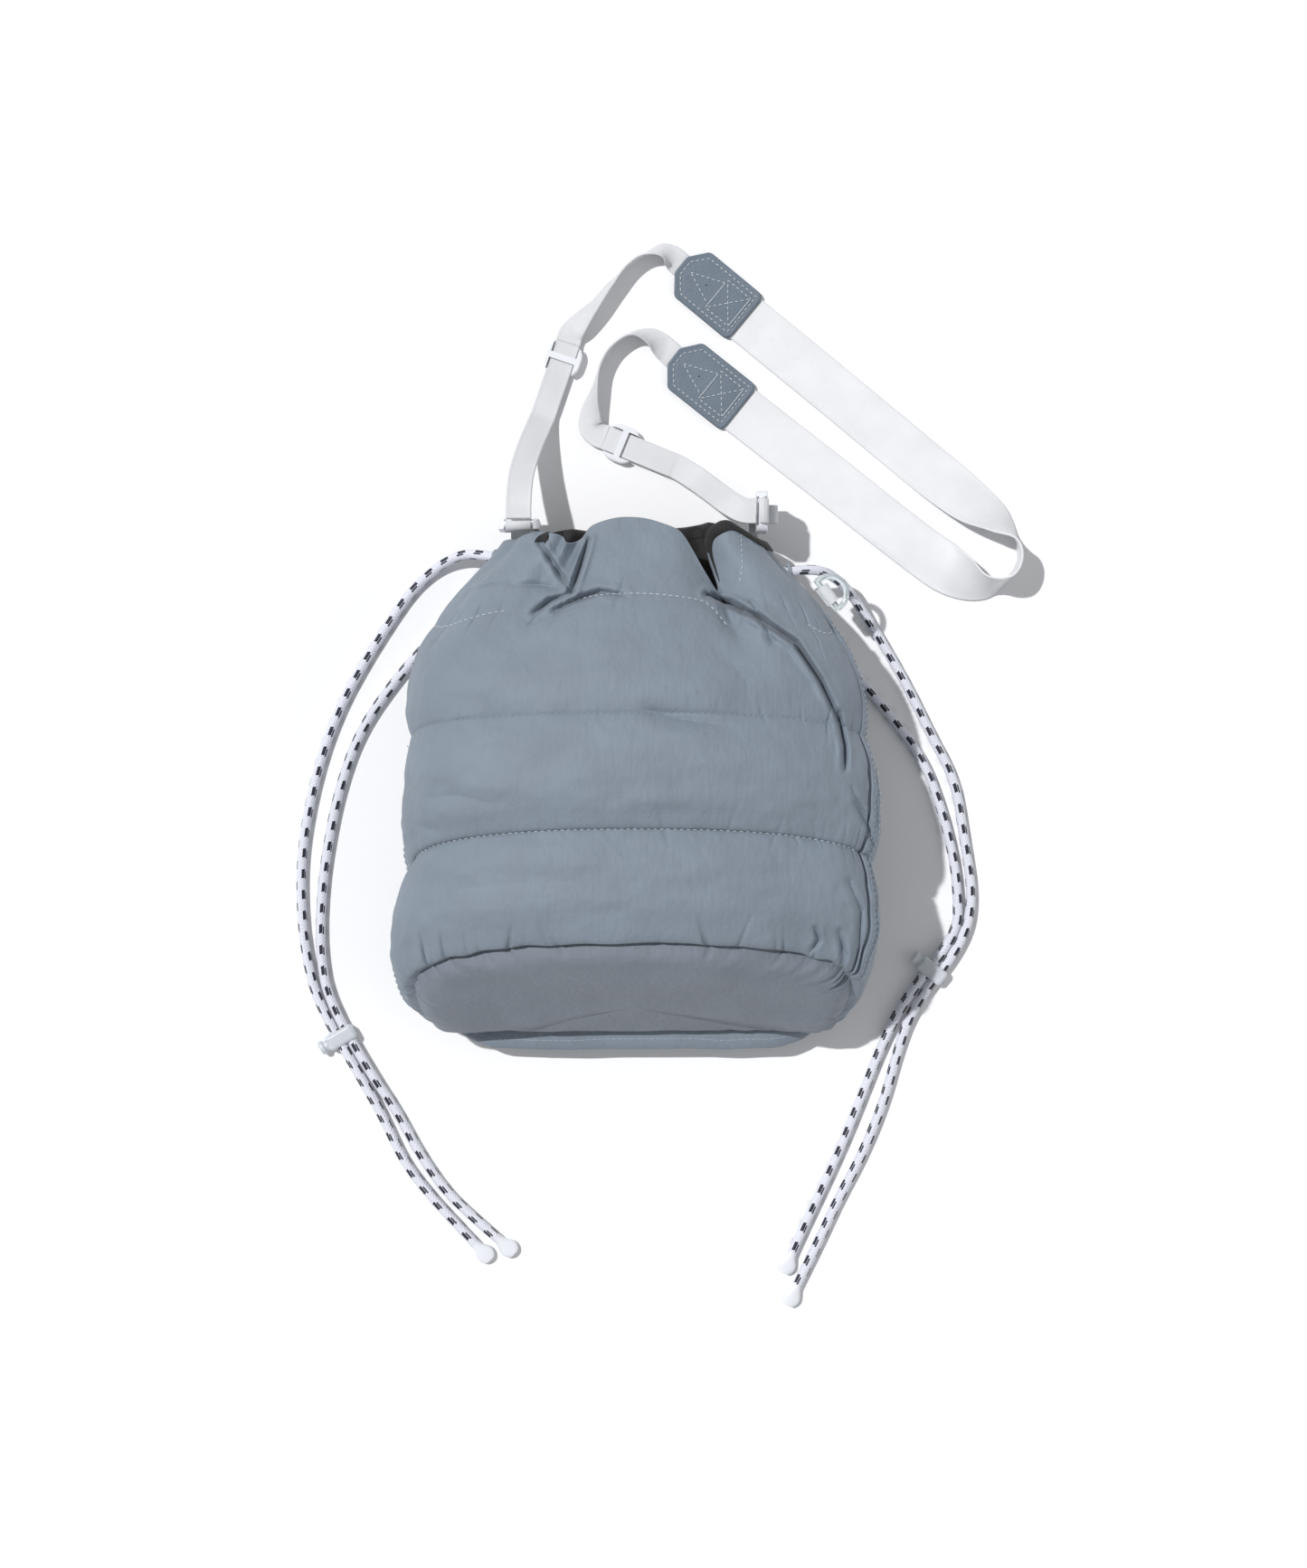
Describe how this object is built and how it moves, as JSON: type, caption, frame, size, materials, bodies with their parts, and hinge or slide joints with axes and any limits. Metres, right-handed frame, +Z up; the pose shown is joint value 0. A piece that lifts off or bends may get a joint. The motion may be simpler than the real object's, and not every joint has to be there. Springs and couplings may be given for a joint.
{
  "type": "shoe bag",
  "caption": "Padded drawstring shoe bag lying on its back, with cord locks, a webbing shoulder strap, leather tabs and plastic hooks.",
  "frame": {"origin": "on the table under the middle of the bag, which lies on its back panel", "axes": "+Z up from the table, +Y towards the mouth, +X to the right seen from above"},
  "size_m": [0.3669, 0.5399, 0.1135],
  "materials": {
    "shell_nylon": "matt nylon taffeta, quilted",
    "base_nylon": "matt nylon taffeta",
    "wadding": "polyester wadding",
    "black_lining": "black woven lining",
    "cord_braid": "fine round braid with dark tracer yarns",
    "white_plastic": "white moulded acetal",
    "milky_plastic": "milky translucent moulding",
    "spring_steel": "spring wire",
    "white_webbing": "satin woven webbing",
    "grey_leather": "fine grain leather with pale stitching",
    "loop_webbing": "narrow woven webbing",
    "clear_plastic": "clear moulded plastic"
  },
  "bodies": {
    "bag": {"back_lining": "black_lining", "back_panel": "shell_nylon", "back_wadding": "wadding", "base_lining": "black_lining", "base_panel": "base_nylon", "base_wadding": "wadding", "channel_back": "shell_nylon", "channel_front": "shell_nylon", "cord_tip_left_inner": "white_plastic", "cord_tip_left_outer": "white_plastic", "cord_tip_right_inner": "white_plastic", "cord_tip_right_outer": "white_plastic", "drawcord_left_in_channel": "cord_braid", "drawcord_left_inner": "cord_braid", "drawcord_left_outer": "cord_braid", "drawcord_right_in_channel": "cord_braid", "drawcord_right_inner": "cord_braid", "drawcord_right_outer": "cord_braid", "front_lining": "black_lining", "front_panel": "shell_nylon", "front_wadding": "wadding", "leather_tab_lower_top": "grey_leather", "leather_tab_lower_under": "grey_leather", "leather_tab_upper_top": "grey_leather", "leather_tab_upper_under": "grey_leather", "mouth_binding": "black_lining", "ring_tab": "loop_webbing", "side_tape_left": "shell_nylon", "side_tape_right": "shell_nylon", "strap_loop_left": "loop_webbing", "strap_loop_right": "loop_webbing", "webbing_left_doubled": "white_webbing", "webbing_left_single": "white_webbing", "webbing_right_doubled": "white_webbing", "webbing_right_single": "white_webbing", "webbing_wide": "white_webbing"},
    "ring_body": {"clear_ring": "clear_plastic"},
    "lock_left": {"cord_lock_left": "milky_plastic", "lock_spring_left": "spring_steel"},
    "lock_right": {"cord_lock_right": "milky_plastic", "lock_spring_right": "spring_steel"},
    "gate_left": {"hook_gate_left": "white_plastic"},
    "gate_right": {"hook_gate_right": "white_plastic"},
    "hook_left_body": {"hook_left": "white_plastic"},
    "hook_right_body": {"hook_right": "white_plastic"},
    "button_left": {"lock_button_left": "milky_plastic"},
    "button_right": {"lock_button_right": "milky_plastic"},
    "slider_left_body": {"slider_left": "white_plastic"},
    "slider_right_body": {"slider_right": "white_plastic"}
  },
  "joints": [
    {"name": "lock_left_slide", "type": "slide", "parent": "bag", "child": "lock_left", "axis": [0.5, -0.866, 0], "range_m": [-0.005, 0.009]},
    {"name": "lock_right_slide", "type": "slide", "parent": "bag", "child": "lock_right", "axis": [-0.6293, -0.7771, 0], "range_m": [-0.005, 0.005]},
    {"name": "lock_left_press", "type": "slide", "parent": "lock_left", "child": "button_left", "axis": [0.866, 0.5, 0], "range_m": [0, 0.0012], "stiffness_N_per_m": 60, "springref_m": -0.001},
    {"name": "lock_right_press", "type": "slide", "parent": "lock_right", "child": "button_right", "axis": [0.7771, -0.6293, 0], "range_m": [0, 0.0012], "stiffness_N_per_m": 60, "springref_m": -0.001},
    {"name": "slider_left_adjust", "type": "slide", "parent": "bag", "child": "slider_left_body", "axis": [0.3239, 0.9461, 0], "range_m": [-0.018, 0]},
    {"name": "slider_right_adjust", "type": "slide", "parent": "bag", "child": "slider_right_body", "axis": [0.9245, -0.3811, 0], "range_m": [0, 0.018]},
    {"name": "hook_left_swing", "type": "hinge", "parent": "bag", "child": "hook_left_body", "pos_m": [-0.059, 0.1306, 0.042], "axis": [1, 0, 0], "range_deg": [-7, 7]},
    {"name": "hook_right_swing", "type": "hinge", "parent": "bag", "child": "hook_right_body", "pos_m": [0.062, 0.137, 0.042], "axis": [0, 1, 0], "range_deg": [-7, 7]},
    {"name": "gate_left_open", "type": "hinge", "parent": "hook_left_body", "child": "gate_left", "pos_m": [-0.0502, 0.1306, 0.031], "axis": [0, 1, 0], "range_deg": [0, 28], "stiffness_Nm_per_rad": 0.01, "springref_deg": -11.46},
    {"name": "gate_right_open", "type": "hinge", "parent": "hook_right_body", "child": "gate_right", "pos_m": [0.062, 0.1458, 0.031], "axis": [-1, 0, 0], "range_deg": [0, 28], "stiffness_Nm_per_rad": 0.01, "springref_deg": -11.46},
    {"name": "clear_ring_swing", "type": "hinge", "parent": "bag", "child": "ring_body", "pos_m": [0.0945, 0.0955, 0.04], "axis": [0.6157, -0.788, 0], "range_deg": [-20, 20]}
  ]
}
